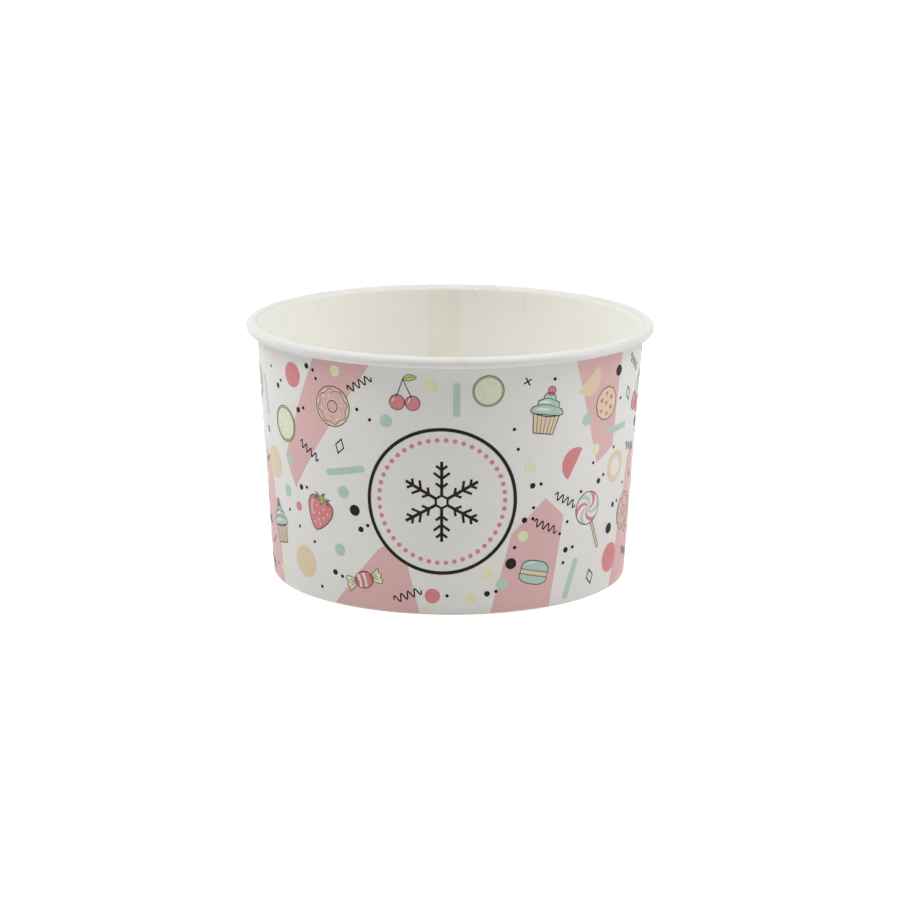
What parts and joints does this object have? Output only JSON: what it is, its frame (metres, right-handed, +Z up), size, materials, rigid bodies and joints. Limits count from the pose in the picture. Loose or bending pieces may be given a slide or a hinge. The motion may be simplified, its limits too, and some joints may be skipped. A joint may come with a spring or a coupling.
{
  "type": "paper dessert cup",
  "caption": "Squat paper dessert cup: a lapped cone of board with a rolled rim, printed outside, and a recessed base sealed into a folded foot.",
  "frame": {"origin": "centre of the foot, on the surface the cup stands on", "axes": "+Z up along the cup's axis, +Y towards the side seam, +X to the right when the seam is at the back"},
  "size_m": [0.098, 0.098, 0.0617],
  "materials": {
    "wall_board": "printed outside, satin coated inside",
    "base_board": "satin coated"
  },
  "bodies": {
    "root": {"side_wall": "wall_board", "base": "base_board"}
  },
  "joints": []
}
